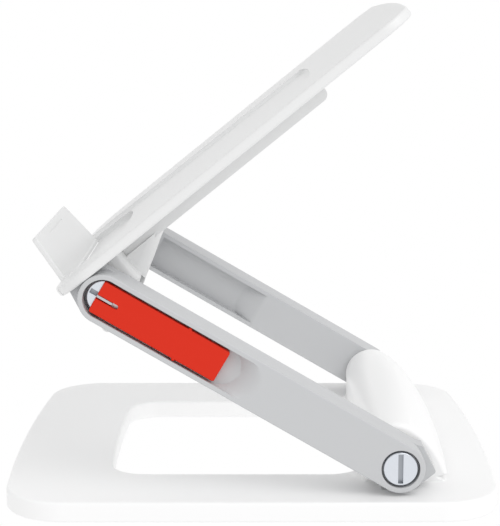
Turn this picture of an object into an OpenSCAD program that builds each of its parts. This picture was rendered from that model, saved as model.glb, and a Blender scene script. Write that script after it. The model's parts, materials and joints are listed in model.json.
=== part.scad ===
// Folding tablet stand: a weighted base frame, two lifting arms, and a tray with a fold-in ledge.
// X runs from the user (negative) to the back, Y from right to left as the user sees it, Z is up.
// The origin is the middle of the footprint, on the surface that the feet stand on.

/* [Base] */
// Length of the base, front to back, at its middle
base_length = 197; // [190:1:210]
// Width of the base, side to side
base_width = 183.5; // [180:0.5:200]
// Height of the base's top face above the table
base_top = 9; // [8.8:0.1:12]
// Height of the feet below the bottom plate
foot_height = 1; // [0.6:0.1:2]
// Corner radius of the base
base_corner = 24; // [12:1:28]
// How far the front and back edges bow out
base_bow = 4.5; // [0:0.1:5]
// Length of the opening, front to back
opening_length = 102.5; // [90:0.5:103]
// Width of the opening
opening_width = 111.2; // [90:0.2:112]
// Middle of the opening, front to back
opening_x = -6.2; // [-8:0.1:-5]

/* [Arms] */
// Distance between the lower and the upper hinge axis
arm_spacing = 130; // [120:1:132]
// Half the height of an arm's face
arm_half = 9.45; // [9:0.05:9.45]
// Outer face of an arm, from the middle of the stand
arm_outer_y = 85; // [85:0.5:88]
// Seam between an arm's outer and inner layer
arm_seam_y = 75.5; // [75:0.1:76]
// Inner face of an arm
arm_inner_y = 66.5; // [66.5:0.1:67]
// Angle of the arms above the table
arm_angle = 30.3; // [4:0.1:50]
// Lower hinge axis, towards the back
lower_x = 56.5; // [54:0.5:58]
// Lower hinge axis, above the base's top face
lower_rise = 10.9; // [10.9:0.1:12]

/* [Tray] */
// Angle of the tray above the table
tray_angle = 38.9; // [10:0.1:38.9]
// Tray's end below the upper hinge axis, along the tray
tray_low = 14.5; // [14.4:0.1:14.8]
// Tray's end above the upper hinge axis, along the tray
tray_high = 157.8; // [140:0.1:158]
// Half the tray's width at its lower end
tray_half_low = 85.2; // [84.5:0.1:86]
// Half the tray's width at its upper end
tray_half_high = 84.2; // [78:0.1:84.4]
// Underside of the tray, above the hinge axis
tray_under = 9.5; // [9.5:0.1:9.8]
// Front face of the tray, above the hinge axis
tray_face = 13.4; // [13.4:0.1:14.2]
// Height of the ledge's free edge above the hinge axis
ledge_top = 32.6; // [28:0.1:32.6]
// Half the ledge's width at its free edge
ledge_half = 47; // [40:1:47]

/* [Hinges] */
// Radius of the hinge shafts
shaft_r = 4; // [3.5:0.1:4]
// Radius of the slotted screw heads
head_r = 6.55; // [6:0.05:6.8]
// Width of the slot in a screw head
slot_w = 1.9; // [1.4:0.1:2.4]

/* [Key] */
// Length of the red key's handle
key_length = 54; // [50:0.5:54]
// Width of the key's handle
key_width = 13; // [12:0.1:13.2]
// Thickness of the key's handle
key_thick = 3.6; // [3:0.1:3.8]

/* [Hidden] */

eps = 0.01;
gap = 0.3;                                  // space between pieces that move past each other
run_fit = 0.05;                             // radial play of a shaft in its bore
press_play = 0.02;                          // radial play of a part that is pressed or glued in

// Base
wall = 2.2;                                 // moulded wall
roof = 3.4;                                 // top skin of the base shell
plate_t = 1.6;                              // bottom plate
opening_corner = 14;
opening_bow = 1.8;
weight_t = 2.6;
weight_play = 0.4;
lower_z = base_top + lower_rise;
foot_r = 6;
foot_x = 82;
foot_y = 76;
foot_sink = 0.8;                            // how far a foot is let into the bottom plate
base_screw_xy = [[-84, -34], [-84, 34], [-10, -80], [-10, 80], [84, -34], [84, 34]];
housing_screw_xy = [[66, -46], [66, -16], [66, 16], [66, 46]];
housing_screw_grip = 7;                     // how far a screw goes up into the hinge housing
base_boss_r = 3.2;
base_screw_r = 1.3;
base_screw_head_r = 2.6;

// Arms
bore_r = shaft_r + run_fit;
bush_r = 5.8;
hub_seat = 4.2;                             // depth of a screw's counterbore from the arm's face
hub_r = 7.4;
disc_spring_t = 0.8;
screw_head_t = 2.8;
screw_shank_r = 2.5;
screw_shank_l = 13;
pocket_half = 7.55;                         // half width of the key pocket
pocket_depth = 4.3;
pocket_end = 58.6;                          // end of the pocket's floor, from the upper axis
scoop_end = 67.8;                           // where the finger scoop meets the arm's face
inner_pocket_start = 16;
inner_pocket_depth = 5;
heel_corner = [14.7, 3.9];                  // stop heel of an arm's inner layer, about its hinge
heel_toe = [11.9, -4.2];
heel_r = 12.3;
heel_top_x = 5.8;
heel_room = 12.65;                          // depth of the recesses that the heels turn in
rivet_r = 2;
rivet_at = [84, 104];

// Upper screws sit deeper on the right, under the key
upper_seat = pocket_depth + hub_seat - 0.2;

// Tray
tray_angle_to_arm = arm_angle + tray_angle;
tray_corner = 13;
tray_low_corner = 18;
tray_bow_lean = 3.8;
channel_half_low = 56.5;
channel_half_mid = 50.5;
channel_half_high = 41;
channel_end = 111.5;
channel_floor = tray_face - 1.6;
ledge_room = 2.5;                           // depth of the ledge's pocket below the channel
pocket_floor = channel_floor - ledge_room;
pad_under = pocket_floor - 0.8;             // the plate is thicker under that pocket
pad_half = 56.2;
pad_end = 17;
cover_floor = 3.6;                          // underside of the back cover
cover_start = 12.2;
cover_end = 113.2;
cover_half = 56;
cover_wall = 1.8;
heel_recess_u = [-12.3, 7.6];
knuckle_r = 11.2;
knuckle_y = [54, 65.5];
bracket_half = 50;                          // between the knuckles
ledge_t = 2.2;
ledge_foot = 54.5;                          // half the ledge's width at its foot
ledge_axis_u = -13.0;
ledge_axis_n = pocket_floor + ledge_t / 2 + gap;
ledge_barrel_r = 1.3;
ledge_pin_r = 0.8;

// Key
key_from = -2.6;                            // handle's end beyond the upper axis
key_slot_w = 1.8;
key_slot_end = 6.6;
key_bump_at = 33.9;
blade_from = -2.7;
blade_to = 4.1;
blade_t = 1.15;

$fn = 72;

// Points of an arc, from angle a0 to a1
function arc(cx, cy, r, a0, a1, n = 12) =
    [for (i = [0:n]) [cx + r * cos(a0 + (a1 - a0) * i / n), cy + r * sin(a0 + (a1 - a0) * i / n)]];

// Rounded rectangle whose two X ends bow out: half length hl at the middle, half width hw
function bowed(hl, hw, bow, rc) =
    let (rs = (hw * hw + bow * bow) / (2 * bow),
         cx = hl - rs + sqrt(pow(rs - rc, 2) - pow(hw - rc, 2)),
         side = asin((hw - rc) / (rs - rc)),
         quarter = concat(arc(hl - rs, 0, rs, 0, side, 8), arc(cx, hw - rc, rc, side, 90, 14)))
    concat(quarter,
           [for (i = [len(quarter) - 1:-1:0]) [-quarter[i][0], quarter[i][1]]],
           [for (p = quarter) [-p[0], -p[1]]],
           [for (i = [len(quarter) - 1:-1:0]) [quarter[i][0], -quarter[i][1]]]);

// Side profile in the X-Z plane, from y0 to y1
module across(y0, y1) {
    translate([0, y1, 0]) rotate([90, 0, 0]) linear_extrude(y1 - y0) children();
}

// Round bar along Y through the local origin
module bar(r, y0, y1) {
    translate([0, y0, 0]) rotate([-90, 0, 0]) cylinder(r = r, h = y1 - y0);
}

module ring(r_out, r_in, y0, y1) {
    difference() {
        bar(r_out, y0, y1);
        bar(r_in, y0 - 1, y1 + 1);
    }
}

// Frames: both arms turn about the lower axis, the tray about the upper axis
module at_lower() { translate([lower_x, 0, lower_z]) children(); }
module at_upper() {
    translate([lower_x - arm_spacing * cos(arm_angle), 0, lower_z + arm_spacing * sin(arm_angle)])
        children();
}
module arm_frame() { at_upper() rotate([0, arm_angle, 0]) children(); }
module tray_frame() { at_upper() rotate([0, -tray_angle, 0]) children(); }
module on_left() { mirror([0, 1, 0]) children(); }

// ---------------------------------------------------------------- base

module base_outline(inset = 0) {
    polygon(bowed(base_length / 2 - inset, base_width / 2 - inset, base_bow, base_corner - inset));
}

module opening_outline(grow = 0) {
    translate([opening_x, 0])
        polygon(bowed(opening_length / 2 + grow, opening_width / 2 + grow, opening_bow,
                      opening_corner + grow));
}

module heel_room_cuts() {
    for (side = [-1, 1]) translate([lower_x, side * (arm_inner_y + arm_seam_y) / 2, lower_z])
        bar(heel_room, -(arm_seam_y - arm_inner_y) / 2 - 0.6, (arm_seam_y - arm_inner_y) / 2 + 0.6);
}

module base_bosses(r) {
    for (p = concat(base_screw_xy, housing_screw_xy)) translate([p[0], p[1], 0])
        cylinder(r = r, h = base_top - 1);
}

module base_shell() {
    color([0.95, 0.95, 0.95]) difference() {
        translate([0, 0, foot_height]) linear_extrude(base_top - foot_height) difference() {
            base_outline();
            opening_outline();
        }
        difference() {
            linear_extrude(base_top - roof) difference() {
                base_outline(wall);
                opening_outline(wall);
            }
            base_bosses(base_boss_r);
        }
        translate([0, 0, -1]) linear_extrude(foot_height + plate_t + 1 + eps) difference() {
            base_outline(1);
            opening_outline(1);
        }
        for (p = base_screw_xy) translate([p[0], p[1], 0]) cylinder(r = base_screw_r, h = base_top - 2);
        for (p = housing_screw_xy) translate([p[0], p[1], 0]) cylinder(r = base_screw_r, h = base_top + 1);
        heel_room_cuts();
    }
}

module base_bottom_plate() {
    color([0.93, 0.93, 0.93]) difference() {
        translate([0, 0, foot_height]) linear_extrude(plate_t) difference() {
            base_outline(1.1);
            opening_outline(1.1);
        }
        for (x = [-foot_x, foot_x], y = [-foot_y, foot_y])
            translate([x, y, foot_height - 1]) cylinder(r = foot_r + press_play, h = foot_sink + 1);
        for (p = concat(base_screw_xy, housing_screw_xy)) {
            translate([p[0], p[1], 0]) cylinder(r = base_screw_r + 0.2, h = base_top);
            translate([p[0], p[1], foot_height - 1]) cylinder(r = base_screw_head_r + 0.2, h = 1.9);
        }
    }
}

module base_weight() {
    color([0.5, 0.5, 0.53]) difference() {
        translate([0, 0, foot_height + plate_t]) linear_extrude(weight_t) difference() {
            base_outline(wall + weight_play);
            opening_outline(wall + weight_play);
        }
        base_bosses(base_boss_r + weight_play);
    }
}

module foot(sx, sy) {
    color([0.12, 0.12, 0.12]) translate([sx * foot_x, sy * foot_y, 0]) rotate_extrude()
        polygon([[0, 0], [foot_r - 0.4, 0], [foot_r, 0.4], [foot_r, foot_height + foot_sink],
                 [0, foot_height + foot_sink]]);
}

module bottom_screws(places, tip_z) {
    color([0.6, 0.6, 0.62]) for (p = places) translate([p[0], p[1], foot_height + 0.1]) {
        cylinder(r = base_screw_head_r, h = 0.75);
        cylinder(r = base_screw_r - press_play, h = tip_z - foot_height - 0.1);
    }
}
module base_screws() { bottom_screws(base_screw_xy, base_top - 2.5); }
module housing_screws() { bottom_screws(housing_screw_xy, base_top + housing_screw_grip - 0.5); }

// Side profile of the hinge housing about the lower axis: a barrel that runs into a long slope to
// the back, and a toe at each side. Both arcs meet at one angle, so the joint is smooth.
housing_r = 11.9;
housing_slope_r = 31;
housing_join = 60;
function housing_profile(t) =
    let (cx = -(housing_slope_r - housing_r) * cos(housing_join),
         cz = 0.5 - (housing_slope_r - housing_r) * sin(housing_join))
    concat([[-13 + t, -lower_rise], [-11.6 + t, -9.6]],
           arc(0, 0.5, housing_r - t, 196, housing_join, 18),
           arc(cx, cz, housing_slope_r - t, housing_join - 4, 13, 14),
           [[20.2 - t, -lower_rise]]);

module hinge_housing() {
    half = knuckle_y[1];
    color([0.95, 0.95, 0.95]) at_lower() difference() {
        union() {
            difference() {
                across(-half, half) polygon(housing_profile(0));
                across(-half + wall, half - wall) polygon(housing_profile(wall));
            }
            for (y = [-32, 0, 32]) across(y - 1, y + 1) polygon(housing_profile(wall / 2));
            for (p = housing_screw_xy) translate([p[0] - lower_x, p[1], -lower_rise])
                cylinder(r = base_boss_r, h = lower_rise + 4.6);
        }
        for (p = housing_screw_xy) translate([p[0] - lower_x, p[1], -lower_rise - 1])
            cylinder(r = base_screw_r, h = housing_screw_grip + 1);
        bar(shaft_r + press_play, -half - 1, half + 1);
        translate([-40, -half - 1, -lower_rise - 20]) cube([80, 2 * half + 2, 20]);
    }
}

// ---------------------------------------------------------------- hinge hardware, right side

module washer() {
    color([0.9, 0.9, 0.87]) ring(8.6, bore_r, -arm_inner_y + 0.1, -knuckle_y[1]);
}

module bush() {
    color([0.88, 0.87, 0.82]) ring(bush_r, bore_r, -arm_seam_y + 0.2, -arm_inner_y + 0.1);
}

module disc_spring(seat) {
    color([0.6, 0.6, 0.63]) ring(6.6, 4.6, -arm_outer_y + seat - disc_spring_t, -arm_outer_y + seat);
}

module slotted_screw(seat, slot_turn) {
    under = -arm_outer_y + seat - disc_spring_t - 0.1;
    face = under - screw_head_t;
    color([0.75, 0.77, 0.8]) difference() {
        union() {
            rotate([90, 0, 0]) translate([0, 0, -under]) rotate_extrude()
                polygon([[0, 0], [head_r, 0], [head_r, screw_head_t - 0.35],
                         [head_r - 0.35, screw_head_t], [0, screw_head_t]]);
            bar(screw_shank_r, under - eps, under + screw_shank_l);
        }
        rotate([0, slot_turn, 0]) translate([-slot_w / 2, face - 1, -head_r - 1])
            cube([slot_w, 2.2, 2 * head_r + 2]);
    }
}

module shaft(right_seat, left_seat) {
    right_end = -arm_outer_y + right_seat + 0.1;
    left_end = arm_outer_y - left_seat - 0.1;
    color([0.55, 0.55, 0.58]) difference() {
        bar(shaft_r, right_end, left_end);
        bar(screw_shank_r + run_fit, right_end - 1, right_end + screw_shank_l);
        bar(screw_shank_r + run_fit, left_end - screw_shank_l, left_end + 1);
    }
}

// ---------------------------------------------------------------- arms

module arm_face_profile() {
    polygon(concat(arc(0, 0, arm_half, 90, 270, 24), arc(arm_spacing, 0, arm_half, -90, 90, 24)));
}

// The inner layer ends in a stop heel at each hinge, one the half turn of the other
function heel_points() = concat(arc(0, 0, heel_r, -50.2, -19.4, 6), [heel_corner],
                                [[heel_top_x, arm_half]]);

module arm_inner_profile() {
    lower = [for (p = heel_points()) [arm_spacing + p[0], p[1]]];
    upper = [for (p = heel_points()) -p];
    polygon(concat(lower, upper));
}

// Bore, counterbore and the shaft's clearance at one hinge
module hub_cut(seat) {
    bar(hub_r, -arm_outer_y - 1, -arm_outer_y + seat);
    bar(bore_r, -arm_outer_y, -arm_inner_y + 1);
}

// Stadium pocket whose end rises to the face as a finger scoop. It is cut into the face at y = 0.
module pocket_cut(start, depth, round_start) {
    union() {
        if (round_start) bar(pocket_half, -1, depth);
        translate([start, -1, -pocket_half]) cube([pocket_end - start, depth + 1, 2 * pocket_half]);
        translate([0, 0, -pocket_half]) linear_extrude(2 * pocket_half)
            polygon(concat([[pocket_end - eps, -1], [pocket_end - eps, depth]],
                           [for (i = [0:8]) let (t = i / 8)
                               [pocket_end + (scoop_end - pocket_end) * t, depth * (1 - t) * (1 - t)]],
                           [[scoop_end, -1]]));
    }
}

module arm_outer(seat, has_key) {
    difference() {
        across(-arm_outer_y, -arm_seam_y) arm_face_profile();
        hub_cut(seat);
        translate([arm_spacing, 0, 0]) hub_cut(hub_seat);
        if (has_key) translate([0, -arm_outer_y, 0]) pocket_cut(0, pocket_depth, true);
        rivet_holes();
    }
}

module arm_inner() {
    difference() {
        across(-arm_seam_y, -arm_inner_y) arm_inner_profile();
        for (x = [0, arm_spacing]) translate([x, 0, 0]) bar(bush_r + press_play, -arm_seam_y - 1,
                                                            -arm_inner_y + 1);
        translate([0, -arm_inner_y, 0]) mirror([0, 1, 0])
            pocket_cut(inner_pocket_start, inner_pocket_depth, false);
        rivet_holes();
    }
}

module rivet_holes() {
    for (x = rivet_at) translate([x, 0, 0]) bar(rivet_r + press_play, -arm_seam_y - 5.5, -arm_seam_y + 5.5);
}

module arm_rivets() {
    color([0.6, 0.6, 0.62]) arm_frame() for (side = [0, 1], x = rivet_at)
        mirror([0, side, 0]) translate([x, 0, 0]) bar(rivet_r, -arm_seam_y - 5, -arm_seam_y + 5);
}

arm_grey = [0.79, 0.8, 0.81];
module right_arm_outer() { color(arm_grey) arm_frame() arm_outer(upper_seat, true); }
module right_arm_inner() { color(arm_grey) arm_frame() arm_inner(); }
module left_arm_outer() { color(arm_grey) arm_frame() on_left() arm_outer(hub_seat, false); }
module left_arm_inner() { color(arm_grey) arm_frame() on_left() arm_inner(); }

// ---------------------------------------------------------------- tray

// Outline of the tray seen square on: x along the tray, y across it
function tray_edge(u) = tray_half_low
    - (tray_half_low - tray_half_high) * pow(max(0, (u - 30) / (tray_side_end - 30)), 2);

// Both ends of a top corner's arc, and its centre, run smoothly into the side and the bowed end
tray_side_end = tray_high - 15.3;
tray_side_lean = atan(2 * (tray_half_low - tray_half_high) / (tray_side_end - 30));
tray_corner_u = tray_side_end - tray_corner * sin(tray_side_lean);
tray_corner_y = tray_half_high - tray_corner * cos(tray_side_lean);
tray_bow_u = tray_corner_u + tray_corner * cos(tray_bow_lean);
tray_bow_y = tray_corner_y + tray_corner * sin(tray_bow_lean);

function tray_half_outline() = concat(
    arc(-tray_low + tray_low_corner, tray_half_low - tray_low_corner, tray_low_corner, 180, 90, 12),
    [for (i = [0:12]) let (u = 8 + i * (tray_side_end - 8) / 12) [u, tray_edge(u)]],
    arc(tray_corner_u, tray_corner_y, tray_corner, 88 - tray_side_lean, tray_bow_lean, 12),
    [for (i = [1:8]) let (t = 1 - i / 8) [tray_high - (tray_high - tray_bow_u) * t * t, tray_bow_y * t]]);

module tray_outline() {
    half = tray_half_outline();
    polygon(concat(half, [for (i = [len(half) - 2:-1:0]) [half[i][0], -half[i][1]]]));
}

module channel_outline() {
    half = [[-tray_low - 1, channel_half_low], [-4, channel_half_low - 0.5], [20, channel_half_mid],
            [channel_end - 0.5, channel_half_high], [channel_end + 0.7, 24], [channel_end + 1.3, 8]];
    polygon(concat(half, [for (i = [len(half) - 1:-1:0]) [half[i][0], -half[i][1]]]));
}

// The folded ledge lies in this pocket; its end is a shallow arch for a fingertip
ledge_reach = ledge_axis_u + ledge_top - ledge_axis_n;
module ledge_pocket_outline() {
    half = [[-tray_low - 1, ledge_foot + 0.6], [ledge_axis_u + 2, ledge_foot + 0.6],
            [ledge_reach + 0.7, ledge_half + 0.8], [ledge_reach + 3.2, 38], [ledge_reach + 5, 24],
            [ledge_reach + 5.8, 10]];
    polygon(concat(half, [for (i = [len(half) - 1:-1:0]) [half[i][0], -half[i][1]]]));
}

module tray_plate() {
    color([0.94, 0.94, 0.94]) tray_frame() difference() {
        union() {
            translate([0, 0, tray_under]) linear_extrude(tray_face - tray_under) tray_outline();
            translate([-12, -pad_half, pad_under])
                cube([pad_end + 12, 2 * pad_half, tray_under - pad_under + 1]);
        }
        translate([0, 0, channel_floor]) linear_extrude(10) channel_outline();
        translate([0, 0, pocket_floor]) linear_extrude(10) ledge_pocket_outline();
        for (side = [-1, 1])
            translate([heel_recess_u[0], side * (arm_inner_y + arm_seam_y) / 2, tray_under - 1])
                translate([0, -(arm_seam_y - arm_inner_y) / 2 - 0.6, 0])
                    cube([heel_recess_u[1] - heel_recess_u[0], arm_seam_y - arm_inner_y + 1.2,
                          heel_room - tray_under + 1]);
        translate([ledge_axis_u, 0, ledge_axis_n]) {
            bar(ledge_pin_r + press_play, -channel_half_low - 5, channel_half_low + 5);
            translate([-10, -ledge_foot - 0.6, -5]) cube([10, 2 * ledge_foot + 1.2, 15]);
            bar(ledge_barrel_r + 0.3, -ledge_foot - 0.6, ledge_foot + 0.6);
        }
        tray_screw_shapes(1.2 + press_play, 0);
    }
}

tray_screw_uy = [[40, -30], [40, 30], [100, -30], [100, 30]];
bracket_screw_uy = [[22, -30], [22, 30]];
bracket_screw_n = 1.0;                      // seat of the bracket's screws

module tray_screw_shapes(r, head) {
    for (p = tray_screw_uy) translate([p[0], p[1], tray_under - 3.6]) {
        cylinder(r = r, h = 4.6);
        if (head > 0) cylinder(r = head, h = 1.2);
    }
    for (p = bracket_screw_uy) translate([p[0], p[1], bracket_screw_n]) {
        cylinder(r = r, h = channel_floor - 0.8 - bracket_screw_n);
        if (head > 0) cylinder(r = head, h = 1.2);
    }
}

module tray_screws() {
    color([0.6, 0.6, 0.62]) tray_frame() tray_screw_shapes(1.2, 2.3);
}

// Shallow cover behind the channel
module tray_back_cover() {
    color([0.93, 0.93, 0.93]) tray_frame() difference() {
        translate([cover_start, -cover_half, cover_floor])
            cube([cover_end - cover_start, 2 * cover_half, tray_under - cover_floor]);
        difference() {
            translate([cover_start + cover_wall, -cover_half + cover_wall, cover_floor + cover_wall])
                cube([cover_end - cover_start - 2 * cover_wall, 2 * cover_half - 2 * cover_wall, 10]);
            for (p = concat(tray_screw_uy, bracket_screw_uy)) translate([p[0], p[1], 0])
                cylinder(r = 4, h = tray_under);
        }
        translate([cover_start - 1, -pad_half - 0.1, pad_under])
            cube([pad_end + 0.1 - cover_start + 1, 2 * pad_half + 0.2, 10]);
        for (p = bracket_screw_uy) translate([p[0], p[1], cover_floor - 1]) cylinder(r = 1.35, h = 10);
        for (p = tray_screw_uy) translate([p[0], p[1], cover_floor - 1]) {
            cylinder(r = 1.2 + 0.15, h = 10);
            cylinder(r = 2.5, h = tray_under - 2.2 - cover_floor + 1);
        }
    }
}

// Side profile of the bracket about the upper axis: chin below, slope up to the back cover
bracket_profile = concat(
    [[-12, pad_under], [-12, -11]], arc(-10.2, -13.2, 2, 190, 290, 6),
    [[0, -13.2], [10.7, -7.8], [15.7, -4.7], [19.6, -2.6], [25.1, 0.8], [27.8, cover_floor],
     [12, cover_floor], [12, pad_under]]);
bracket_hollow = [[-9.8, pad_under - wall], [-9.8, -9.6], [-1, -10.8], [8.8, -5.8], [17.4, -0.9],
                  [17.4, 1.4], [9.8, 1.4], [9.8, pad_under - wall]];

bracket_cheek = [[13, cover_floor], [13, -6.3], [16.9, -4.1], [20.8, -2.0], [26.2, 1.3],
                 [28.4, cover_floor]];
bracket_cheek_half = 57.5;

module tray_bracket() {
    color([0.94, 0.94, 0.94]) tray_frame() difference() {
        union() {
            for (side = [0, 1]) mirror([0, side, 0])
                across(-bracket_cheek_half, -bracket_half + 1) polygon(bracket_cheek);
            difference() {
                across(-bracket_half, bracket_half) polygon(bracket_profile);
                for (side = [-1, 1]) across(side > 0 ? 1.5 : -bracket_half + wall,
                                            side > 0 ? bracket_half - wall : -1.5)
                    polygon(bracket_hollow);
            }
            bar(shaft_r + 2, -bracket_half, bracket_half);
            for (side = [0, 1]) mirror([0, side, 0]) {
                bar(knuckle_r, -knuckle_y[1], -knuckle_y[0]);
                across(-knuckle_y[1], -knuckle_y[0])
                    polygon([[-11.2, 0], [0, 0], [8.4, -7.4], [12.7, -4.4], [12.7, tray_under],
                             [-11.8, tray_under]]);
                across(-knuckle_y[1], -bracket_half + 1)
                    polygon(concat([[-11.4, tray_under], [-11.4, -11]],
                                   arc(-10.2, -13.4, 1.6, 190, 290, 5),
                                   [[-6, -11], [0, -4], [6, 0], [6, tray_under]]));
            }
        }
        translate([-30, -100, tray_under]) cube([90, 200, 20]);
        translate([-30, -pad_half - 0.1, pad_under]) cube([30 + pad_end + 0.1, 2 * pad_half + 0.2, 20]);
        for (side = [-1, 1]) translate([cover_start - 0.1, side * 55 - 1.2, cover_floor])
            cube([20, 2.4, 20]);
        bar(shaft_r + press_play, -knuckle_y[1] - 1, knuckle_y[1] + 1);
        for (p = bracket_screw_uy) translate([p[0], p[1], -20]) {
            cylinder(r = 1.35, h = 40);
            cylinder(r = 2.5, h = 20 + bracket_screw_n + 1.3);
        }
    }
}

// The flap stands square to the tray and widens towards its hinge
module ledge() {
    reach = ledge_top - ledge_axis_n;
    color([0.94, 0.94, 0.94]) tray_frame() translate([ledge_axis_u, 0, ledge_axis_n]) difference() {
        union() {
            bar(ledge_barrel_r, -ledge_foot, ledge_foot);
            translate([-ledge_t / 2, 0, 0]) rotate([90, 0, 90]) linear_extrude(ledge_t)
                polygon([[-ledge_foot, 0], [ledge_foot, 0], [ledge_foot, 2], [ledge_half, reach],
                         [-ledge_half, reach], [-ledge_foot, 2]]);
        }
        bar(ledge_pin_r + run_fit, -ledge_foot - 1, ledge_foot + 1);
        translate([ledge_t / 2 - 0.5, -20, reach - 3.4]) cube([1, 40, 0.8]);
    }
}

module ledge_pin() {
    color([0.55, 0.55, 0.58]) tray_frame() translate([ledge_axis_u, 0, ledge_axis_n])
        bar(ledge_pin_r, -channel_half_low - 4.5, channel_half_low + 4.5);
}

// ---------------------------------------------------------------- key

module key_handle() {
    half = key_width / 2;
    floor_y = -arm_outer_y + pocket_depth - gap;
    color([0.86, 0.2, 0.14]) arm_frame() difference() {
        union() {
            translate([key_from, floor_y - key_thick, -half]) cube([key_length, key_thick, key_width]);
            for (side = [-1, 1]) translate([key_bump_at, floor_y - key_thick, side * half])
                rotate([-90, 0, 0]) cylinder(r = 0.7, h = key_thick);
        }
        translate([key_from - 1, floor_y - key_thick - 1, -key_slot_w / 2])
            cube([key_slot_end - key_from + 1 - key_slot_w / 2, key_thick + 2, key_slot_w]);
        translate([key_slot_end - key_slot_w / 2, 0, 0]) bar(key_slot_w / 2, floor_y - key_thick - 1,
                                                             floor_y + 1);
        translate([blade_to - 0.5, floor_y - 1.3, -1.2]) cube([12.5, 1.32, 2.4]);
    }
}

module key_blade() {
    floor_y = -arm_outer_y + pocket_depth - gap;
    color([0.7, 0.71, 0.73]) arm_frame() {
        translate([blade_from, floor_y - 2.6, -blade_t / 2])
            cube([blade_to - blade_from, 2.6, blade_t]);
        translate([blade_to - 0.4, floor_y - 1.2, -1.15]) cube([12.2, 1.2, 2.3]);
    }
}

// ---------------------------------------------------------------- the assembly

base_shell();
hinge_housing();
base_bottom_plate();
base_weight();
foot(-1, -1);  // foot_front_right
foot(-1, 1);  // foot_front_left
foot(1, -1);  // foot_rear_right
foot(1, 1);  // foot_rear_left
base_screws();
housing_screws();
at_lower() shaft(hub_seat, hub_seat);  // lower_hinge_shaft
at_lower() washer();  // lower_right_washer
at_lower() on_left() washer();  // lower_left_washer
at_lower() slotted_screw(hub_seat, 0);  // lower_right_screw
at_lower() on_left() slotted_screw(hub_seat, 0);  // lower_left_screw
right_arm_outer();
right_arm_inner();
left_arm_outer();
left_arm_inner();
arm_rivets();
at_lower() bush();  // lower_right_bush
at_lower() on_left() bush();  // lower_left_bush
at_upper() bush();  // upper_right_bush
at_upper() on_left() bush();  // upper_left_bush
at_lower() disc_spring(hub_seat);  // lower_right_disc_spring
at_lower() on_left() disc_spring(hub_seat);  // lower_left_disc_spring
at_upper() disc_spring(upper_seat);  // upper_right_disc_spring
at_upper() on_left() disc_spring(hub_seat);  // upper_left_disc_spring
at_upper() shaft(upper_seat, hub_seat);  // upper_hinge_shaft
at_upper() washer();  // upper_right_washer
at_upper() on_left() washer();  // upper_left_washer
at_upper() slotted_screw(upper_seat, 90 + arm_angle);  // upper_right_screw
at_upper() on_left() slotted_screw(hub_seat, 0);  // upper_left_screw
tray_plate();
tray_back_cover();
tray_bracket();
tray_screws();
ledge();
ledge_pin();
key_handle();
key_blade();
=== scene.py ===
"""Folding tablet stand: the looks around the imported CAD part. Sizes are in millimetres, row frame."""
import json
import math

import bmesh
import bpy
from mathutils import Matrix, Vector


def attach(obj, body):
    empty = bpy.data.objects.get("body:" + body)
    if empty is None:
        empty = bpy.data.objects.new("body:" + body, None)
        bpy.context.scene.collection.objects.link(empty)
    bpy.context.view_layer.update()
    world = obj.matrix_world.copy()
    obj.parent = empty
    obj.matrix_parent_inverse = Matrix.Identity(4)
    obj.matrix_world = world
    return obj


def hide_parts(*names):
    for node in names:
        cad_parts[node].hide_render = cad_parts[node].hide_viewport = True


MM = 0.001

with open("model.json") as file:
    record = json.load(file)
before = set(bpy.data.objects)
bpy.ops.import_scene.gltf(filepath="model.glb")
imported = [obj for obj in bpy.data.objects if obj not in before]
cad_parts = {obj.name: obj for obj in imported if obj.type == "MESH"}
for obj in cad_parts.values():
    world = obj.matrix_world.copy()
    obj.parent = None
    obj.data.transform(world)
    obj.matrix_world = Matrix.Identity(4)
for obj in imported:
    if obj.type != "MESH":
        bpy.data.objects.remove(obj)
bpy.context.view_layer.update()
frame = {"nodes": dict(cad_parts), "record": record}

# ------------------------------------------------------------------ layout, the same as part.scad's
ARM = math.radians(30.3)          # arms above the table
TILT = math.radians(38.9)         # tray above the table
SPACING = 130.0
LOWER = Vector((56.5, 0, 19.9))
UPPER = LOWER + Vector((-SPACING * math.cos(ARM), 0, SPACING * math.sin(ARM)))


def axes(origin, x, y, z):
    m = Matrix((x, y, z)).transposed().to_4x4()
    m.translation = origin
    return m


ALONG_ARM, OFF_ARM = (math.cos(ARM), 0, -math.sin(ARM)), (math.sin(ARM), 0, math.cos(ARM))
ALONG_TRAY, OFF_TRAY = (math.cos(TILT), 0, math.sin(TILT)), (-math.sin(TILT), 0, math.cos(TILT))
RIGHT, LEFT = (0, -1, 0), (0, 1, 0)
# Side frames: x along the piece, y square to it, z out of the right-hand side (-Y)
ARM_AT_UPPER = axes(UPPER, ALONG_ARM, OFF_ARM, RIGHT)
ARM_AT_LOWER = axes(LOWER, ALONG_ARM, OFF_ARM, RIGHT)
TRAY_SIDE = axes(UPPER, ALONG_TRAY, OFF_TRAY, RIGHT)
# Plan frame of the tray: x along it, y across, z out of its front face
TRAY_PLAN = axes(UPPER, ALONG_TRAY, LEFT, OFF_TRAY)
SIDE_AT_LOWER = axes(LOWER, (1, 0, 0), (0, 0, 1), RIGHT)
SIDE_AT_UPPER = axes(UPPER, (1, 0, 0), (0, 0, 1), RIGHT)
PLAN = Matrix.Identity(4)


# ------------------------------------------------------------------ 2D outlines
def arc(cx, cy, r, a0, a1, n=16):
    """Points from a0 to a1 degrees, both ends included."""
    return [(cx + r * math.cos(math.radians(a0 + (a1 - a0) * i / n)),
             cy + r * math.sin(math.radians(a0 + (a1 - a0) * i / n))) for i in range(n + 1)]


def rounded_box(x0, x1, y0, y1, r, n=8):
    return (arc(x1 - r, y1 - r, r, 0, 90, n) + arc(x0 + r, y1 - r, r, 90, 180, n)
            + arc(x0 + r, y0 + r, r, 180, 270, n) + arc(x1 - r, y0 + r, r, 270, 360, n))


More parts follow.
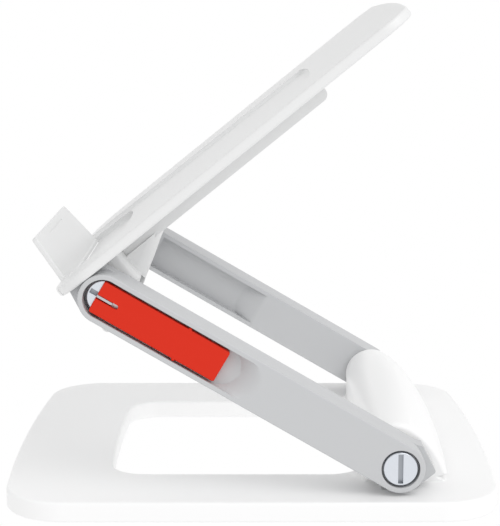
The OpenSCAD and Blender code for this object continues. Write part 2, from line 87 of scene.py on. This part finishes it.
def bowed(cx, hl, hw, bow, rc):
    """Rounded rectangle whose two X ends bow out."""
    rs = (hw * hw + bow * bow) / (2 * bow)
    ccx = hl - rs + math.sqrt((rs - rc) ** 2 - (hw - rc) ** 2)
    side = math.degrees(math.asin((hw - rc) / (rs - rc)))
    quarter = arc(hl - rs, 0, rs, 0, side, 14)[:-1] + arc(ccx, hw - rc, rc, side, 90, 20)
    pts = (quarter + [(-x, y) for x, y in reversed(quarter)] + [(-x, -y) for x, y in quarter]
           + [(x, -y) for x, y in reversed(quarter)])
    return [(cx + x, y) for x, y in clean(pts)]


def clean(pts, tol=1e-3):
    """The closed outline without points that fall on each other."""
    out = []
    for p in pts:
        if not out or math.hypot(p[0] - out[-1][0], p[1] - out[-1][1]) > tol:
            out.append(p)
    if math.hypot(out[0][0] - out[-1][0], out[0][1] - out[-1][1]) <= tol:
        out.pop()
    return out


def rounded_poly(pts, radii, n=8):
    """Polygon with each corner rounded to its own radius."""
    out = []
    for i, r in enumerate(radii):
        a, b, c = Vector(pts[i - 1]), Vector(pts[i]), Vector(pts[(i + 1) % len(pts)])
        u, v = (a - b).normalized(), (c - b).normalized()
        half = u.angle(v) / 2
        if r < 0.01 or half > math.radians(89):
            out.append(tuple(b))
            continue
        d = r / math.tan(half)
        centre = b + (u + v).normalized() * (r / math.sin(half))
        s, e = b + u * d - centre, b + v * d - centre
        a0 = math.atan2(s.y, s.x)
        turn = math.atan2(s.x * e.y - s.y * e.x, s.dot(e))
        out += [(centre.x + r * math.cos(a0 + turn * k / n), centre.y + r * math.sin(a0 + turn * k / n))
                for k in range(n + 1)]
    return clean(out)


# ------------------------------------------------------------------ solids
def new_object(name, mesh):
    o = bpy.data.objects.new(name, mesh)
    bpy.context.scene.collection.objects.link(o)
    return o


def ccw(pts):
    area = sum(pts[i - 1][0] * p[1] - p[0] * pts[i - 1][1] for i, p in enumerate(pts))
    return pts if area > 0 else list(reversed(pts))


def place(bm, name, at):
    """Puts a mesh drawn in millimetres in the scene, on the frame it was drawn in."""
    bmesh.ops.recalc_face_normals(bm, faces=bm.faces)
    bm.transform(Matrix.Scale(MM, 4) @ at)
    mesh = bpy.data.meshes.new(name)
    bm.to_mesh(mesh)
    bm.free()
    return new_object(name, mesh)


def prism(name, pts, z0, z1, at=PLAN, top=0.0, bottom=0.0, seg=4):
    """Straight solid on an outline, with its upper and lower rims rounded."""
    bm = bmesh.new()
    face = bm.faces.new([bm.verts.new((x, y, z0)) for x, y in ccw(clean(pts))])
    up = bmesh.ops.extrude_face_region(bm, geom=[face])["geom"]
    bmesh.ops.translate(bm, verts=[v for v in up if isinstance(v, bmesh.types.BMVert)], vec=(0, 0, z1 - z0))
    for z, r in ((z1, top), (z0, bottom)):
        if r > 0:
            rim = [e for e in bm.edges if all(abs(v.co.z - z) < 1e-5 for v in e.verts)]
            bmesh.ops.bevel(bm, geom=rim, offset=r, offset_type="OFFSET", segments=seg, profile=0.5,
                            affect="EDGES", clamp_overlap=True)
    return place(bm, name, at)


def loft(name, loops, at=PLAN):
    """Solid through loops of equal length, each a list of 3D points."""
    bm = bmesh.new()
    rings = [[bm.verts.new(p) for p in loop] for loop in loops]
    n = len(rings[0])
    for a, b in zip(rings, rings[1:]):
        for i in range(n):
            bm.faces.new((a[i], a[(i + 1) % n], b[(i + 1) % n], b[i]))
    bm.faces.new(rings[0])
    bm.faces.new(rings[-1])
    return place(bm, name, at)


def lathe(name, profile, at=PLAN, n=64):
    """Turned solid: profile is (radius, z) from the axis to the axis."""
    bm = bmesh.new()
    prev = None
    for r, z in profile:
        ring = ([bm.verts.new((0, 0, z))] if r < 1e-6 else
                [bm.verts.new((r * math.cos(2 * math.pi * i / n), r * math.sin(2 * math.pi * i / n), z))
                 for i in range(n)])
        if prev:
            for i in range(n):
                j = (i + 1) % n
                if len(prev) == 1:
                    bm.faces.new((prev[0], ring[i], ring[j]))
                elif len(ring) == 1:
                    bm.faces.new((prev[i], prev[j], ring[0]))
                else:
                    bm.faces.new((prev[i], prev[j], ring[j], ring[i]))
        prev = ring
    return place(bm, name, at)


def slab(name, loops, z0, z1, r, at=PLAN, steps=5):
    """Plate with holes, every rim rounded to r: loops[0] is the outline, the others its holes."""
    curve = bpy.data.curves.new(name, "CURVE")
    curve.dimensions, curve.fill_mode = "2D", "BOTH"
    curve.extrude, curve.bevel_depth, curve.bevel_resolution, curve.offset = (z1 - z0) / 2 - r, r, steps, -r
    for loop in loops:
        spline = curve.splines.new("POLY")
        spline.points.add(len(loop) - 1)
        for point, (x, y) in zip(spline.points, loop):
            point.co = (x, y, 0, 1)
        spline.use_cyclic_u = True
    o = new_object(name, curve)
    mesh = bpy.data.meshes.new_from_object(o.evaluated_get(bpy.context.evaluated_depsgraph_get()))
    bpy.data.objects.remove(o)
    bm = bmesh.new()
    bm.from_mesh(mesh)
    bmesh.ops.remove_doubles(bm, verts=bm.verts, dist=1e-4)
    bmesh.ops.translate(bm, verts=bm.verts, vec=(0, 0, (z0 + z1) / 2))
    return place(bm, name, at)


def box_solid(name, x0, x1, y0, y1, z0, z1, at=PLAN):
    return prism(name, [(x0, y0), (x1, y0), (x1, y1), (x0, y1)], z0, z1, at)


def boolean(obj, others, op="DIFFERENCE"):
    """Applies others to obj and removes them."""
    for c in others:
        m = obj.modifiers.new("b", "BOOLEAN")
        m.operation, m.object, m.solver = op, c, "EXACT"
    bake(obj)
    for c in others:
        bpy.data.objects.remove(c)
    return obj


def bake(obj):
    """Applies the object's modifiers."""
    deps = bpy.context.evaluated_depsgraph_get()
    mesh = bpy.data.meshes.new_from_object(obj.evaluated_get(deps))
    obj.modifiers.clear()
    obj.data = mesh


def finish(obj, material, body, *nodes, rim=0.0, slot=None, angle=40, seg=3):
    """Small rim radius on what is still sharp, smooth shading, material, and the body it rides on."""
    bm = bmesh.new()
    bm.from_mesh(obj.data)
    bmesh.ops.remove_doubles(bm, verts=bm.verts, dist=2e-6)
    bmesh.ops.dissolve_degenerate(bm, edges=bm.edges, dist=1e-6)
    bm.to_mesh(obj.data)
    bm.free()
    if rim > 0:
        m = obj.modifiers.new("rim", "BEVEL")
        m.width, m.segments, m.limit_method = rim * MM, seg, "ANGLE"
        m.angle_limit = math.radians(angle)
        m.use_clamp_overlap = True
        bake(obj)
    for p in obj.data.polygons:
        p.use_smooth = True
    obj.data.set_sharp_from_angle(angle=math.radians(32))
    m = obj.modifiers.new("normals", "WEIGHTED_NORMAL")
    m.keep_sharp, m.weight = True, 80
    bake(obj)
    obj.data.materials.clear()
    obj.data.materials.append(material)
    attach(obj, body)
    if nodes:
        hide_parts(*nodes)
    return obj


def mirrored(obj, name):
    """The same piece on the left-hand side."""
    mesh = obj.data.copy()
    mesh.transform(Matrix.Scale(-1, 4, (0, 1, 0)))
    mesh.flip_normals()
    return new_object(name, mesh)


# ------------------------------------------------------------------ materials
def material(name, color, rough, metallic=0.0, bump=0.0, bump_scale=900.0, ior=1.46):
    """Moulded or turned surface: fine noise drives both the roughness and a slight bump."""
    rough_vary = 0.04
    m = bpy.data.materials.new(name)
    m.use_nodes = True
    nt = m.node_tree
    bsdf = nt.nodes["Principled BSDF"]
    bsdf.inputs["Base Color"].default_value = (*color, 1)
    bsdf.inputs["Metallic"].default_value = metallic
    bsdf.inputs["IOR"].default_value = ior
    coord = nt.nodes.new("ShaderNodeTexCoord")
    noise = nt.nodes.new("ShaderNodeTexNoise")
    noise.inputs["Scale"].default_value = bump_scale
    noise.inputs["Detail"].default_value = 3.0
    nt.links.new(coord.outputs["Object"], noise.inputs["Vector"])
    ramp = nt.nodes.new("ShaderNodeMapRange")
    ramp.inputs["To Min"].default_value = rough - rough_vary
    ramp.inputs["To Max"].default_value = rough + rough_vary
    nt.links.new(noise.outputs["Fac"], ramp.inputs["Value"])
    nt.links.new(ramp.outputs["Result"], bsdf.inputs["Roughness"])
    bmp = nt.nodes.new("ShaderNodeBump")
    bmp.inputs["Strength"].default_value = bump
    bmp.inputs["Distance"].default_value = 0.00005
    nt.links.new(noise.outputs["Fac"], bmp.inputs["Height"])
    nt.links.new(bmp.outputs["Normal"], bsdf.inputs["Normal"])
    return m


# Painted light: one white plastic in two copies; the darker copy paints shade on the tray parts, the lighter
# copy paints light on the base and its housing
WHITE_SHADED = material("white_plastic_shaded_look", (0.80, 0.803, 0.803), 0.34, bump=0.06, bump_scale=2500)
WHITE_LIT = material("white_plastic_lit_look", (0.95, 0.95, 0.95), 0.36, bump=0.06, bump_scale=2500)
PLATE = material("bottom_plate_look", (0.8, 0.8, 0.8), 0.5, bump=0.1)
GREY = material("grey_plastic_look", (0.56, 0.567, 0.578), 0.42, bump=0.08, bump_scale=2600)
RED = material("red_plastic_look", (0.69, 0.024, 0.006), 0.5, ior=1.3, bump=0.08, bump_scale=2200)
RUBBER = material("rubber_look", (0.03, 0.03, 0.03), 0.75, bump=0.2, bump_scale=1500)
CHROME = material("chrome_look", (0.72, 0.75, 0.8), 0.16, metallic=1.0, bump=0.02, bump_scale=3000)
# Painted shade: a darker plated material for the faces inside the screw slots, where shade falls in the
# recess
SLOT_SHADE = material("slot_painted_shade_look", (0.4, 0.42, 0.45), 0.35, metallic=1.0, bump=0.05, bump_scale=1500)
STEEL = material("steel_look", (0.6, 0.6, 0.61), 0.3, metallic=1.0, bump=0.05, bump_scale=1200)
WEIGHT = material("weight_look", (0.3, 0.31, 0.33), 0.5, metallic=1.0, bump=0.1, bump_scale=400)
NYLON = material("nylon_look", (0.75, 0.73, 0.66), 0.5, bump=0.08)

LOOKS = {"plate_plastic": PLATE, "white_plastic": WHITE_SHADED, "grey_plastic": GREY, "red_plastic": RED,
         "rubber": RUBBER, "plated": CHROME, "steel": STEEL, "weight_steel": WEIGHT, "nylon": NYLON}
slot_of = {s["node"]: s["material_slot"] for s in frame["record"]["subparts"]}
for node_name, node_obj in frame["nodes"].items():
    node_obj.data.materials.clear()
    node_obj.data.materials.append(LOOKS[slot_of[node_name]])

# ------------------------------------------------------------------ base
BASE_UNDER, BASE_TOP = 1.0, 9.0
OUTLINE = bowed(0, 98.5, 91.75, 4.5, 24)
OPENING = bowed(-6.2, 51.25, 55.6, 1.8, 14)
HEEL_Y, HEEL_GAP = 71, 5.1        # middle of the inner arm layers, and half their room's width
HEEL_ROOM = 12.65                 # room for the heels to turn


def base_part():
    base = slab("base", [OUTLINE, OPENING], BASE_UNDER, BASE_TOP, 1.2)
    troughs = [prism("trough", arc(0, 0, HEEL_ROOM, 0, 360, 96)[:-1],
                     s * HEEL_Y - HEEL_GAP, s * HEEL_Y + HEEL_GAP, SIDE_AT_LOWER) for s in (-1, 1)]
    boolean(base, troughs)
    return finish(base, WHITE_LIT, "base", "base_shell", slot="white_plastic")


base_part()


HOUSING_HALF, CROWN = 65.5, 3.1
HOUSING_UNDER = -10.9


def housing_section(y):
    """Section of the crowned hinge housing at y: a barrel, a long slope to the back and a toe each side."""
    join, offset = 60, 19.1       # where the slope leaves the barrel, and the gap between their centres
    cx, cz = -offset * math.cos(math.radians(join)), 0.5 - offset * math.sin(math.radians(join))
    pts = ([(-13.0, HOUSING_UNDER), (-12.1, -10.4), (-11.6, -9.4), (-11.5, -6)]
           + arc(0.2, 0.5, 11.9, 193, join, 28)
           + arc(cx, cz, 31, join - 2.5, 15, 20) + [(17.2, -9.2), (18.4, -10.3), (20.2, HOUSING_UNDER)])
    crown = CROWN * (1 - (y / HOUSING_HALF) ** 2)
    out = []
    for x, z in pts:
        a = math.degrees(math.atan2(z - 0.5, x - 0.5))
        # the crown fades out toward the toes
        w = 0.5 - 0.5 * math.cos(math.pi * min(1, max(0, min((a + 48) / 30, (115 - a) / 65))))
        k = crown * w / max(1, math.hypot(x - 0.5, z - 0.5))
        out.append((x + (x - 0.5) * k, z + (z - 0.5) * k))
    return out


def housing_part():
    """Loft of sections along Y; the two ends draw in by a small radius."""
    end = 2.2
    rim = [(HOUSING_HALF - end * (1 - math.cos(math.radians(a))), end * (1 - math.sin(math.radians(a))))
           for a in range(0, 91, 15)]
    stations = ([(-y, inset) for y, inset in rim] + [(-60 + 120 * i / 24, 0.0) for i in range(25)]
                + list(reversed(rim)))
    loops = []
    for y, inset in stations:
        loop = []
        for x, z in housing_section(y):
            d, foot = math.hypot(x - 1, z + 6), z < HOUSING_UNDER + 0.1
            k = 1 - 0.6 * inset / d if foot else 1 - inset / d
            loop.append((1 + (x - 1) * k, HOUSING_UNDER if foot else -6 + (z + 6) * k, -y))
        loops.append(loop)
    housing = loft("housing", loops, SIDE_AT_LOWER)
    return finish(housing, WHITE_LIT, "base", "hinge_housing", slot="white_plastic")


housing_part()

# ------------------------------------------------------------------ arms
HALF = 9.45                       # half the arms' height
INNER_Z, SEAM_Z, OUTER_Z = 66.5, 75.5, 85.0      # the arm's inner face, its layers' seam, its outer face
POCKET_HALF = 7.55


def pocket(depth, start, crease, rim_end, z_face, sign, bulge, at):
    """Cutter for a long pocket whose end rises to the face. sign is +1 for the outer face."""
    loops = []
    for k in range(9):
        t = k / 8                                     # 0 on the floor, 1 at the face
        rise = 1 - (1 - t) ** 0.75 if bulge > 0 else t
        z = z_face - sign * depth * (1 - t)
        loops.append(pocket_loop(start, crease + (rim_end - crease) * rise, POCKET_HALF,
                                 bulge * (1 if bulge > 0 else 1 - t), z))
    last = [(x, y, z_face + sign * 2) for x, y, _ in loops[-1]]
    loops.append(last)
    return loft("pocket", loops, at)


def pocket_loop(start, end, w, bulge, z):
    """Round start about x = 0 or straight at start; the end bulges by bulge at its middle."""
    if start is None:
        pts = arc(0, 0, w, 90, 270, 24)
    else:
        pts = [(start, w)] + [(start, w - 2 * w * i / 8) for i in range(1, 8)] + [(start, -w)]
    n = 24
    tail = []
    for i in range(n + 1):
        a = math.radians(-90 + 180 * i / n)
        y = w * math.sin(a)
        tail.append((end - bulge * (1 - math.cos(a)), y))
    return [(x, y, z) for x, y in pts + tail]


def hub_cut(seat, at, r=7.4):
    """Cutter for the round recess that a screw head sits in."""
    return prism("hub", arc(0, 0, r, 0, 360, 64)[:-1], OUTER_Z - seat, OUTER_Z + 5, at)


def arm_outer(right):
    pts = arc(0, 0, HALF, 90, 270, 40) + arc(SPACING, 0, HALF, -90, 90, 40)
    arm = prism("outer", pts, SEAM_Z, OUTER_Z, ARM_AT_UPPER, top=0.55, bottom=0.0, seg=4)
    cuts = [hub_cut(4.2, ARM_AT_LOWER)]
    if right:
        cuts += [pocket(4.3, None, 58.6, 67.8, OUTER_Z, 1, 7.5, ARM_AT_UPPER)]
        boolean(arm, cuts)
        cuts = [hub_cut(8.3, ARM_AT_UPPER, POCKET_HALF + 0.05)]
    else:
        cuts += [hub_cut(4.2, ARM_AT_UPPER)]
    boolean(arm, cuts)
    return arm


# Half turn of the inner layer's end: the stop heel's arc, its corner and the way back to the arm's edge
HEEL = arc(0, 0, 12.3, -50.2, -19.4, 10) + [(14.7, 3.9), (4.9, 10.1), (2.5, HALF)]


def arm_inner():
    upper = [(-x, -y) for x, y in HEEL]
    lower = [(SPACING + x, y) for x, y in HEEL]
    radii = [0.0] * len(upper)
    radii[-3] = 1.2               # the corner next to the arc
    pts = rounded_poly(lower + upper, radii + radii, 5)
    arm = prism("inner", pts, INNER_Z, SEAM_Z, ARM_AT_UPPER, top=0.0, bottom=0.5, seg=3)
    boolean(arm, [pocket(5.0, 12.5, 57.0, 69.0, INNER_Z, -1, -3.0, ARM_AT_UPPER)])
    return arm


for right in (True, False):
    side = "right" if right else "left"
    outer, inner = arm_outer(right), arm_inner()
    if not right:
        outer_left, inner_left = mirrored(outer, "left_outer"), mirrored(inner, "left_inner")
        bpy.data.objects.remove(outer)
        bpy.data.objects.remove(inner)
        outer, inner = outer_left, inner_left
    outer.name, inner.name = side + "_outer_layer", side + "_inner_layer"
    finish(outer, GREY, "arms", side + "_arm_outer", rim=0.3, slot="grey_plastic", angle=38)
    finish(inner, GREY, "arms", side + "_arm_inner", rim=0.2, slot="grey_plastic", angle=50)


# ------------------------------------------------------------------ screws
def screw(name, at, face, turn, body, node, left=False):
    """Slotted tension screw; turn is the slot's angle in degrees."""
    r, edge, bottom = 6.55, 0.45, face - 2.75
    head = lathe(name, [(0, face), (r - edge, face)]
                 + [(r - edge + edge * math.sin(math.radians(a)),
                     face - edge + edge * math.cos(math.radians(a))) for a in (22, 45, 68, 90)]
                 + [(r, bottom), (0, bottom)], at, 72)
    slot_at = at @ Matrix.Rotation(math.radians(turn), 4, "Z")
    slot_long, slot_wide, slot_deep = 5.7, 0.95, 2.0          # half length, half width, depth
    boolean(head, [box_solid("slot", -slot_long, slot_long, -slot_wide, slot_wide,
                             face - slot_deep, face + 1, slot_at)])
    shank = lathe("shank", [(0, face - 2.5), (2.5, face - 2.5), (2.5, face - 15), (2.1, face - 15.6),
                            (0, face - 15.6)], at, 32)
    boolean(head, [shank], "UNION")
    if left:
        other = mirrored(head, name)
        bpy.data.objects.remove(head)
        head = other
    head.name = name
    finish(head, CHROME, body, node, rim=0.12, slot="plated", angle=40)
    # Painted shade: the faces inside the slot get the darker plated material
    head.data.materials.append(SLOT_SHADE)
    to_slot = (slot_at if not left else Matrix.Scale(-1, 4, (0, 1, 0)) @ slot_at).inverted()
    for p in head.data.polygons:
        c = to_slot @ (p.center / MM)
        if (abs(c.x) < slot_long + 0.1 and abs(c.y) < slot_wide + 0.04
                and face - slot_deep - 0.2 < c.z < face - 0.3):
            p.material_index = 1
    return head


FACE = OUTER_Z - 4.2 + 0.9 + 2.8   # seat depth, disc spring, head
screw("tension_screw_lower_right", SIDE_AT_LOWER, FACE, 90, "lower_right_tension_screw", "lower_right_screw")
screw("tension_screw_lower_left", SIDE_AT_LOWER, FACE, 90, "lower_left_tension_screw", "lower_left_screw",
      left=True)
screw("tension_screw_upper_right", SIDE_AT_UPPER, OUTER_Z - 8.3 + 3.7, -30.3, "upper_right_tension_screw",
      "upper_right_screw")
screw("tension_screw_upper_left", SIDE_AT_UPPER, FACE, 90, "upper_left_tension_screw", "upper_left_screw",
      left=True)


# ------------------------------------------------------------------ key
def key():
    z0, z1 = 81.0, 84.6
    handle = prism("key", rounded_box(-2.6, 51.4, -6.5, 6.5, 0.9, 6), z0, z1, ARM_AT_UPPER,
                   top=0.45, bottom=0.3)
    notch = prism("notch", [(-6, -0.9)] + arc(5.7, 0, 0.9, -90, 90, 16) + [(-6, 0.9)],
                  z0 - 1, z1 + 1, ARM_AT_UPPER)
    tang = box_solid("tang", 3.6, 16.1, -1.2, 1.2, z0 - 1, z0 + 1.3, ARM_AT_UPPER)
    boolean(handle, [notch, tang])
    for s in (-1, 1):
        bump = lathe("bump", [(0, z0), (0.7, z0), (0.7, z1 - 0.3), (0.4, z1), (0, z1)],
                     ARM_AT_UPPER @ Matrix.Translation((33.9, s * 6.5, 0)), 24)
        boolean(handle, [bump], "UNION")
    handle.name = "red_key"
    finish(handle, RED, "key", "key_handle", rim=0.16, slot="red_plastic", angle=50)
    blade = prism("blade", arc(-2.1, 0, 0.57, 90, 270, 12) + arc(3.5, 0, 0.57, -90, 90, 12), z0, z0 + 2.6,
                  ARM_AT_UPPER, top=0.15)
    root = box_solid("root", 3.7, 15.9, -1.15, 1.15, z0, z0 + 1.2, ARM_AT_UPPER)
    boolean(blade, [root], "UNION")
    blade.name = "screwdriver_blade"
    finish(blade, STEEL, "key", "key_blade", rim=0.05, slot="steel")


key()

# ------------------------------------------------------------------ tray
HIGH, LOW = 157.8, -14.5          # the tray's ends along its length
UNDER, FACE_N = 9.5, 13.4         # its back and front faces
CHANNEL_N, POCKET_N = 11.8, 9.3   # floors of the channel and of the ledge's pocket
PAD_N, COVER_N = 8.5, 3.6         # undersides of the thick pad and of the back cover
SIDE_END = HIGH - 15.3
LEDGE_U, LEDGE_N, LEDGE_TOP = -13.0, 10.7, 32.6
REACH = LEDGE_U + LEDGE_TOP - LEDGE_N


def tray_edge(u):
    return 85.2 - max(0.0, (u - 30) / (SIDE_END - 30)) ** 2


def both_sides(half):
    """Closed outline from its half with y > 0, listed from one end to the other."""
    return clean(half + [(u, -y) for u, y in reversed(half)])


def tray_outline():
    lean = math.degrees(math.atan(2 / (SIDE_END - 30)))
    r, bow = 13.0, 3.8
    cu, cy = SIDE_END - r * math.sin(math.radians(lean)), 84.2 - r * math.cos(math.radians(lean))
    bu, by = cu + r * math.cos(math.radians(bow)), cy + r * math.sin(math.radians(bow))
    half = arc(LOW + 18, 67.2, 18, 180, 90, 24)
    half += [(8 + i * (SIDE_END - 8) / 20, tray_edge(8 + i * (SIDE_END - 8) / 20)) for i in range(20)]
    half += arc(cu, cy, r, 90 - lean, bow, 18)
    half += [(HIGH - (HIGH - bu) * (1 - i / 16) ** 2, by * (1 - i / 16)) for i in range(1, 17)]
    return both_sides(half)


def channel():
    half = [(LOW - 4, 56.5), (-4, 56), (20, 50.5), (111.0, 41), (112.2, 24), (112.8, 8)]
    pts = rounded_poly(both_sides(half), [0, 6, 20, 5, 30, 30, 30, 30, 5, 20, 6, 0], 8)
    return prism("channel", pts, CHANNEL_N, 20, TRAY_PLAN, bottom=1.2, seg=4)


def ledge_pocket():
    half = [(LOW - 4, 55.1), (LEDGE_U + 2, 55.1), (REACH + 0.7, 47.8), (REACH + 3.2, 38), (REACH + 5, 24),
            (REACH + 5.8, 10)]
    pts = rounded_poly(both_sides(half), [0, 1, 3, 12, 30, 30, 30, 30, 12, 3, 1, 0], 6)
    return prism("pocket", pts, POCKET_N, 20, TRAY_PLAN, bottom=1.9, seg=6)


def tray():
    plate = prism("tray", tray_outline(), UNDER, FACE_N, TRAY_PLAN, top=1.3, bottom=1.0, seg=6)
    boolean(plate, [box_solid("pad", -12, 17, -56.2, 56.2, PAD_N, UNDER + 1, TRAY_PLAN)], "UNION")
    boolean(plate, [channel()])
    boolean(plate, [ledge_pocket()])
    cuts = [box_solid("notch", LOW - 8, LEDGE_U, -55.1, 55.1, 5, 20, TRAY_PLAN),
            prism("barrel", arc(LEDGE_U, LEDGE_N, 1.42, 0, 360, 32)[:-1], -55.1, 55.1, TRAY_SIDE)]
    cuts += [box_solid("heel", -12.3, 7.6, s * 71 - 5.1, s * 71 + 5.1, 5, 12.65, TRAY_PLAN) for s in (-1, 1)]
    boolean(plate, cuts)
    plate.name = "tray_board"
    finish(plate, WHITE_SHADED, "tray", "tray_plate", slot="white_plastic")
    start, end = 12.2, 113.2
    section = [(start, UNDER + 1), (start, COVER_N), (end, COVER_N), (end, UNDER + 1)]
    cover = prism("cover", rounded_poly(section, [0, 0.2, 3.2, 0], 8), -56, 56, TRAY_SIDE,
                  top=0.9, bottom=0.9)
    boolean(cover, [box_solid("room", 10, 17.1, -56.3, 56.3, PAD_N, 20, TRAY_PLAN)])
    cover.name = "back_cover"
    finish(cover, WHITE_SHADED, "tray", "tray_back_cover", slot="white_plastic")


tray()


def bracket():
    section = [(-12, PAD_N), (-12, -13.2), (0, -13.2), (10.7, -7.8), (15.7, -4.7), (19.6, -2.6), (25.1, 0.8),
               (27.8, COVER_N), (12, COVER_N), (12, PAD_N)]
    body = prism("bracket", rounded_poly(section, [0, 2, 3, 6, 6, 6, 4, 0, 0, 0], 6), -50, 50, TRAY_SIDE)
    extra = []
    for s in (-1, 1):
        z0, z1 = (54, 65.5) if s > 0 else (-65.5, -54)
        profile = (arc(0, 0, 11.2, 170, 318, 30) + [(12.7, -4.4), (12.7, UNDER), (-11.8, UNDER)])
        knuckle = prism("knuckle", profile, z0, z1, TRAY_SIDE, top=2.8 if s > 0 else 0.4,
                        bottom=2.8 if s < 0 else 0.4, seg=8)
        extra.append(knuckle)
        z0, z1 = (49, 65.3) if s > 0 else (-65.3, -49)
        chin = [(-11.4, UNDER), (-11.4, -14.6), (-6.5, -12.4), (0, -6), (6, 0), (6, UNDER)]
        extra.append(prism("chin", rounded_poly(chin, [0, 2.2, 2, 3, 2, 0], 6), z0, z1, TRAY_SIDE,
                           top=0.6, bottom=0.6))
        wedge = [(2, 14), (2, -12.6), (16.9, -4.3), (20.8, -2.1), (26.2, 1.3), (28.6, COVER_N), (36, 14)]
        cheek = prism("cheek", rounded_poly(wedge, [0, 0, 6, 6, 5, 5, 0], 6),
                      48 if s > 0 else -57.5, 57.5 if s > 0 else -48, TRAY_SIDE,
                      top=6 if s > 0 else 0, bottom=6 if s < 0 else 0, seg=10)
        boolean(cheek, [box_solid("upper", 0, 40, -56.05, 56.05, COVER_N, 20, TRAY_PLAN),
                        box_solid("side", 0, 40, -60, 60, 4.9, 20, TRAY_PLAN),
                        box_solid("front", 0, 12.5, -60, 60, -20, 20, TRAY_PLAN)])
        extra.append(cheek)                # its outer rim laps the back cover, so no slit shows
    boolean(body, extra, "UNION")
    boolean(body, [box_solid("pad_room", -30, 17.1, -56.3, 56.3, PAD_N, 30, TRAY_PLAN)]
            + [box_solid("cover_room", 12.1, 30, s * 55 - 1.3, s * 55 + 1.3, COVER_N, 30, TRAY_PLAN)
               for s in (-1, 1)])
    body.name = "bracket_body"
    finish(body, WHITE_SHADED, "tray", "tray_bracket", slot="white_plastic", rim=0.4, angle=50, seg=3)


bracket()


def ledge():
    outline = [(LEDGE_N, -54.5), (LEDGE_N + 2, -54.5), (LEDGE_TOP, -47), (LEDGE_TOP, 47),
               (LEDGE_N + 2, 54.5), (LEDGE_N, 54.5)]
    standing = axes(UPPER + TRAY_PLAN.to_3x3() @ Vector((LEDGE_U, 0, 0)),
                    TRAY_PLAN.col[2].xyz, RIGHT, TRAY_PLAN.col[0].xyz)
    flap = prism("ledge_flap", rounded_poly(outline, [0, 1, 2.2, 2.2, 1, 0], 8), -1.1, 1.1, standing,
                 top=0.5, bottom=0.6)
    barrel = prism("barrel", arc(LEDGE_U, LEDGE_N, 1.36, 0, 360, 32)[:-1], -54.5, 54.5, TRAY_SIDE)
    boolean(flap, [barrel], "UNION")
    boolean(flap, [box_solid("groove", LEDGE_U + 0.85, LEDGE_U + 3, -20, 20, 29.3, 29.9, TRAY_PLAN)])
    flap.name = "ledge_flap"
    finish(flap, WHITE_SHADED, "ledge", "ledge", slot="white_plastic", rim=0.15)


ledge()

# ------------------------------------------------------------------ camera, light, floor
cam = bpy.data.cameras.new("camera")
cam.sensor_width, cam.lens = 36, 103.64
cam.clip_start, cam.clip_end = 0.01, 20
camera = bpy.data.objects.new("camera", cam)
camera.location = (-0.0008, -0.6381, 0.1944)
camera.rotation_euler = (math.radians(90 - 9.7406), 0, 0)
bpy.context.scene.collection.objects.link(camera)
bpy.context.scene.camera = camera

world = bpy.data.worlds.new("studio")
world.use_nodes = True
world.node_tree.nodes["Background"].inputs["Color"].default_value = (1, 1, 1, 1)
world.node_tree.nodes["Background"].inputs["Strength"].default_value = 0.8
bpy.context.scene.world = world
bpy.context.scene.view_settings.view_transform = "Standard"


def area(name, at, aim, size, power):
    light = bpy.data.lights.new(name, "AREA")
    light.shape, light.size, light.energy = "SQUARE", size, power
    o = bpy.data.objects.new(name, light)
    o.location = at
    o.rotation_euler = (Vector(aim) - Vector(at)).to_track_quat("-Z", "Y").to_euler()
    bpy.context.scene.collection.objects.link(o)


area("soft_box", (0.6, -0.75, 1.05), (0, 0, 0.05), 1.0, 6.0)

paper = bpy.data.materials.new("paper")
paper.use_nodes = True
tree = paper.node_tree
tree.nodes.clear()
emit = tree.nodes.new("ShaderNodeEmission")
emit.inputs["Strength"].default_value = 1.0
result = tree.nodes.new("ShaderNodeOutputMaterial")
tree.links.new(emit.outputs[0], result.inputs[0])


def sheet(name, corners):
    """White paper: the floor and the backdrop."""
    bm = bmesh.new()
    bm.faces.new([bm.verts.new(c) for c in corners])
    mesh = bpy.data.meshes.new(name)
    bm.to_mesh(mesh)
    bm.free()
    mesh.materials.append(paper)
    new_object(name, mesh)


sheet("floor", [(-3, -2, 0), (3, -2, 0), (3, 3, 0), (-3, 3, 0)])
sheet("backdrop", [(-3, 3, 0), (3, 3, 0), (3, 3, 0.8), (-3, 3, 0.8)])
